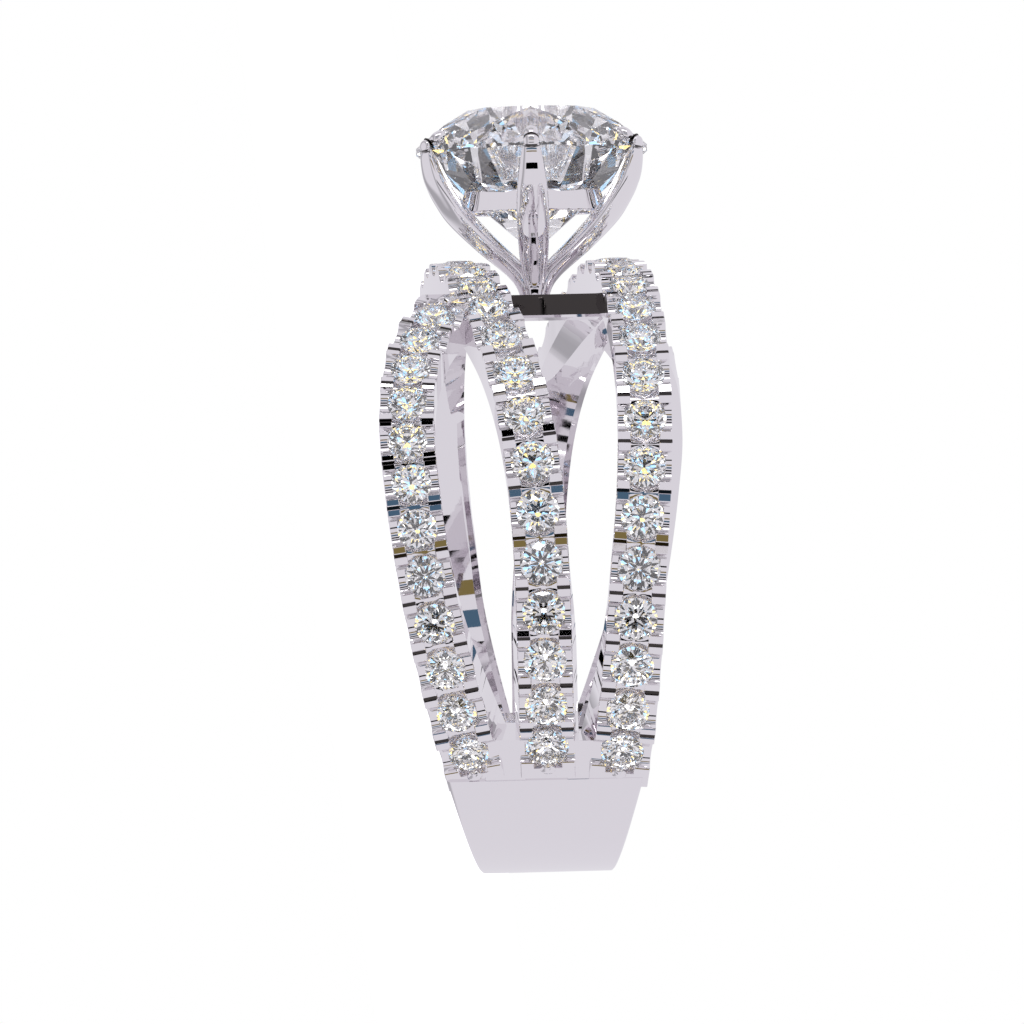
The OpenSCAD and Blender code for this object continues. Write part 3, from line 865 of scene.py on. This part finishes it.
# %% Cards round the ring
SOFT_WHITE, LOW_GREY = (0.77, 0.75, 0.80), (0.42, 0.41, 0.44)
KEY, GREY, BLACK = (6, 6, 6), (0.25, 0.25, 0.25), (0, 0, 0)
GLEAM, AMBER, SKY = (3.6, 3.6, 3.6), (2.1, 1.6, 0.6), (0.7, 1.3, 2.0)
DIM_AMBER, DIM_SKY = [tuple(np.array(colour) / 10) for colour in (AMBER, SKY)]
CARDS = [
    ("low flag", -20, 8, BLACK), ("warm card", 10, 8, DIM_AMBER), ("cool card", 25, 8, DIM_SKY),
    ("middle flag", 40, 8, BLACK), ("upper flag", 55, 8, BLACK), ("key strip", 70, 4, KEY),
    ("back grey", 100, 8, GREY)]
STONE_CARDS = [
    ("low black", -168, 16, BLACK), ("low gleam", -149, 10, GLEAM), ("foot sky", -129, 14, SKY),
    ("foot black", -107, 16, BLACK), ("foot amber", -86, 14, AMBER), ("foot grey", -66, 10, GREY),
    ("front gleam", -47, 10, GLEAM), ("front black", -26, 17, BLACK), ("eye black", 2, 17, BLACK),
    ("eye sky", 21, 8, SKY), ("high amber", 48, 13, AMBER), ("high black", 70, 17, BLACK),
    ("top gleam", 93, 10, GLEAM), ("back sky", 118, 12, SKY), ("back black", 149, 18, BLACK)]
CARD_REACH = (0.33, 0.38)
STONE_REACH = (0.91, 0.95)
LOW_REACH, LOW_END = (-0.38, -0.60), (-0.68, -0.80)

# %% Nodes of the world


def world_node(tree, kind, inputs, **settings):
    """A node with its settings. Each input is joined to an output or set to a plain value."""
    node = tree.nodes.new("ShaderNode" + kind)
    for setting, value in settings.items():
        setattr(node, setting, value)
    for key, value in inputs.items():
        if isinstance(value, bpy.types.NodeSocket):
            tree.links.new(value, node.inputs[key])
        else:
            node.inputs[key].default_value = value
    return node


def cards_round(tree, turned, cards):
    """Colour by the share of a turn: a card's own between its two edges, else soft white."""
    node = world_node(tree, "ValToRGB", {"Fac": turned})
    ramp = node.color_ramp
    ramp.interpolation = "CONSTANT"
    ramp.elements.remove(ramp.elements[-1])
    ramp.elements[0].color = (*SOFT_WHITE, 1)
    for _, middle, width, colour in cards:
        for edge, shown in ((middle - width / 2, colour), (middle + width / 2, SOFT_WHITE)):
            ramp.elements.new((edge + 180) / 360).color = (*shown, 1)
    return node.outputs["Color"]


def past(tree, reach, value, picture, colour):
    """A picture up to a share along the finger axis, and one plain colour past it."""
    step = world_node(tree, "MapRange", {"From Min": reach[0], "From Max": reach[1],
                                         "Value": value}, interpolation_type="SMOOTHSTEP")
    blend = world_node(tree, "Mix", {}, data_type="RGBA")
    tree.links.new(step.outputs["Result"], blend.inputs["Factor"])
    tree.links.new(picture, blend.inputs["A"])
    blend.inputs["B"].default_value = (*colour, 1)
    return blend.outputs["Result"]


# %% The studio


def studio():
    """World colour by direction. The angle about the finger axis picks the card, and the
    direction's share along that axis tells where the cards end and the low band starts. A Light
    Path tells light that has crossed a stone from the rest, and gives camera rays white."""
    world = bpy.data.worlds.new("studio")
    bpy.context.scene.world = world
    world.use_nodes = True
    tree = world.node_tree
    place = world_node(tree, "TexCoord", {}).outputs["Generated"]
    finger, front, up = [
        world_node(tree, "VectorMath", {0: place, 1: tuple(axis)},
                   operation="DOT_PRODUCT").outputs["Value"]
        for axis in (LIE[:, 0], -LIE[:, 1], LIE[:, 2])]
    angle = world_node(tree, "Math", {0: up, 1: front}, operation="ARCTAN2").outputs[0]
    turned = world_node(tree, "MapRange", {"From Min": -np.pi, "From Max": np.pi,
                                           "Value": angle}).outputs["Result"]
    side = world_node(tree, "Math", {0: finger}, operation="ABSOLUTE").outputs[0]
    metal_sees = past(tree, CARD_REACH, side, cards_round(tree, turned, CARDS), SOFT_WHITE)
    metal_sees = past(tree, LOW_REACH, finger, metal_sees, LOW_GREY)
    metal_sees = past(tree, LOW_END, finger, metal_sees, SOFT_WHITE)
    stones_see = past(tree, STONE_REACH, side, cards_round(tree, turned, STONE_CARDS),
                      SOFT_WHITE)
    rays = world_node(tree, "LightPath", {})
    seen = world_node(tree, "Mix", {}, data_type="RGBA")
    tree.links.new(rays.outputs["Is Transmission Ray"], seen.inputs["Factor"])
    tree.links.new(metal_sees, seen.inputs["A"])
    tree.links.new(stones_see, seen.inputs["B"])
    lit = tree.nodes["Background"]
    tree.links.new(seen.outputs["Result"], lit.inputs["Color"])
    plain = world_node(tree, "Background", {"Color": (1, 1, 1, 1)})
    choose = world_node(tree, "MixShader", {"Fac": rays.outputs["Is Camera Ray"],
                                            1: lit.outputs[0], 2: plain.outputs[0]})
    tree.links.new(choose.outputs[0], tree.nodes["World Output"].inputs["Surface"])
    bpy.context.scene.view_settings.view_transform = "Standard"
    return [name for name, *_ in CARDS + STONE_CARDS]


print("cards:", studio())

# %% Let light cross a stone as often as it needs
paths = bpy.context.scene.cycles
paths.max_bounces, paths.glossy_bounces, paths.transmission_bounces = 24, 16, 24
print("light may cross a stone", paths.transmission_bounces, "times")

# %% Pale floor
FLOOR_R = 0.045
FLOOR_GLOW, BACKDROP_GLOW = 0.15, 0.55


def pale_floor():
    """A flat disc at height 0. Its paint is pale with faint specks and glows a little, as a lit
    table does. A further glow that only the camera sees lifts it to the photograph's white. The
    metal and stones mirror the studio and not the floor, so both their sides look alike."""
    turned = np.linspace(0, 2 * np.pi, 96, endpoint=False)
    rim = np.stack([FLOOR_R * np.cos(turned), FLOOR_R * np.sin(turned), 0 * turned], -1)
    mesh = bpy.data.meshes.new("floor")
    mesh.from_pydata(rim.tolist(), [], [list(range(len(rim)))])
    floor = bpy.data.objects.new("floor", mesh)
    bpy.context.scene.collection.objects.link(floor)
    material, nodes, links, shader = new_material("pale_paint")
    place = nodes.new("ShaderNodeTexCoord")
    specks = nodes.new("ShaderNodeTexNoise")
    specks.inputs["Scale"].default_value = 900
    tone = nodes.new("ShaderNodeValToRGB")
    tone.color_ramp.elements[0].color = (0.86, 0.86, 0.87, 1)
    tone.color_ramp.elements[1].color = (0.90, 0.90, 0.91, 1)
    rays = nodes.new("ShaderNodeLightPath")
    glow = nodes.new("ShaderNodeMath")
    glow.operation = "MULTIPLY_ADD"
    glow.inputs[1].default_value = BACKDROP_GLOW
    glow.inputs[2].default_value = FLOOR_GLOW
    links.new(place.outputs["Object"], specks.inputs["Vector"])
    links.new(specks.outputs["Fac"], tone.inputs["Fac"])
    links.new(tone.outputs["Color"], shader.inputs["Base Color"])
    links.new(rays.outputs["Is Camera Ray"], glow.inputs[0])
    links.new(glow.outputs[0], shader.inputs["Emission Strength"])
    shader.inputs["Emission Color"].default_value = (1, 1, 1, 1)
    shader.inputs["Roughness"].default_value = 0.9
    mesh.materials.append(material)
    floor.visible_glossy = floor.visible_transmission = False
    return floor


pale_floor()

# %% Camera
PICTURE = 1024
FOCUS = 5328
AXIS_COLUMN, EYE_ROW = 538.45, 463
EYE = np.array([0, -180, 3.5])
CAMERA_ROLL = np.radians(1.27)


def photo_camera():
    """Looks along the ring's Y axis from 180 mm, rolled a little. The focal length in pixels
    gives the lens, and the picture is shifted so that the eye's own row and column fit."""
    data = bpy.data.cameras.new("photo_camera")
    data.sensor_fit = "HORIZONTAL"
    data.sensor_width = 36
    data.lens = FOCUS * data.sensor_width / PICTURE
    data.clip_start, data.clip_end = 0.001, 10
    data.shift_x = (PICTURE / 2 - AXIS_COLUMN) / PICTURE
    data.shift_y = (EYE_ROW - PICTURE / 2) / PICTURE
    forward = np.array([0, 1, 0])
    up = np.array([np.sin(CAMERA_ROLL), 0, np.cos(CAMERA_ROLL)])
    axes = LIE @ np.stack([np.cross(forward, up), up, -forward], -1)
    camera = bpy.data.objects.new("photo_camera", data)
    matrix = np.eye(4)
    matrix[:3, :3] = axes
    matrix[:3, 3] = lay_down(EYE)
    camera.matrix_world = matrix.T.tolist()
    bpy.context.scene.collection.objects.link(camera)
    bpy.context.scene.camera = camera
    return camera


print("camera at", np.round(lay_down(EYE), 4))
photo_camera()
